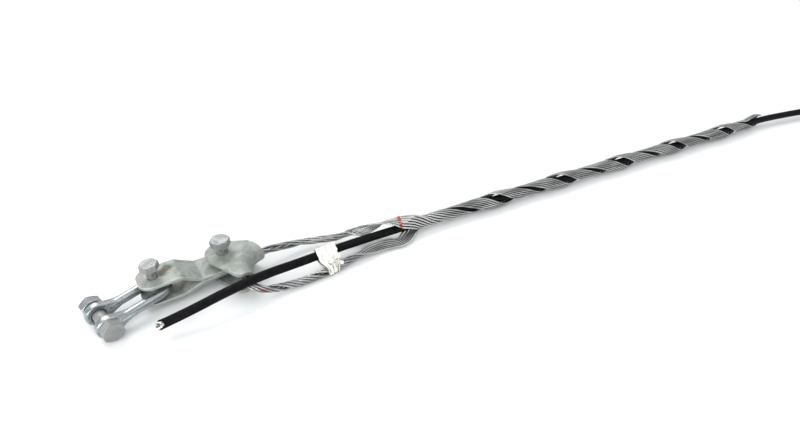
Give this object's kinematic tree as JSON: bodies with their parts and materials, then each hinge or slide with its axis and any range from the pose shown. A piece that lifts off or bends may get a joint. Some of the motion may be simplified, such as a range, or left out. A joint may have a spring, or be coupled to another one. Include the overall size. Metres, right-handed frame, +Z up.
{
  "type": "cable dead-end assembly",
  "caption": "Helical wire grip on a sheathed cable, its loop in a folded thimble that a two-plate link joins to a bolted shackle.",
  "frame": {"origin": "centre of the shackle bolt, midway between the eyes of the shackle", "axes": "+X along the wire grip from the shackle towards the span, +Z up from the surface it lies on"},
  "size_m": [1.1195, 0.0832, 0.0486],
  "materials": {
    "bright_zinc": "fresh smooth galvanizing, satin",
    "sheet_zinc": "matte grey-green galvanizing",
    "bolt_zinc": "rough matte galvanizing",
    "grip_wire": "galvanized wire, satin",
    "sheath": "matte black polyethylene",
    "yarn": "white yarn ends",
    "rod": "cut grey-brown rod",
    "tape": "crumpled white tape"
  },
  "bodies": {
    "grip": {"thimble": "sheet_zinc", "thimble_bolt": "bolt_zinc", "thimble_nut": "bolt_zinc", "grip_wire_1": "grip_wire", "grip_wire_2": "grip_wire", "grip_wire_3": "grip_wire", "grip_wire_4": "grip_wire", "grip_wire_5": "grip_wire", "grip_wire_6": "grip_wire", "cable_gripped": "sheath", "cable_tail": "sheath", "cable_span": "sheath", "cable_core": "yarn", "strength_rod": "rod", "tie_tape": "tape"},
    "link": {"link_plate_upper": "sheet_zinc", "link_plate_lower": "sheet_zinc", "link_bolt": "bolt_zinc", "link_nut": "bolt_zinc"},
    "shackle": {"shackle": "bright_zinc", "shackle_bolt": "bright_zinc", "shackle_nut": "bright_zinc"}
  },
  "joints": [
    {"name": "link_swing", "type": "hinge", "parent": "grip", "child": "link", "pos_m": [0.12201, 0.0284, 0.0062], "axis": [0, 0, 1], "range_deg": [-60, 8]},
    {"name": "shackle_swing", "type": "hinge", "parent": "link", "child": "shackle", "pos_m": [0.0516, 0.0196, 0.0062], "axis": [0, 0, 1], "range_deg": [-50, 12]}
  ]
}
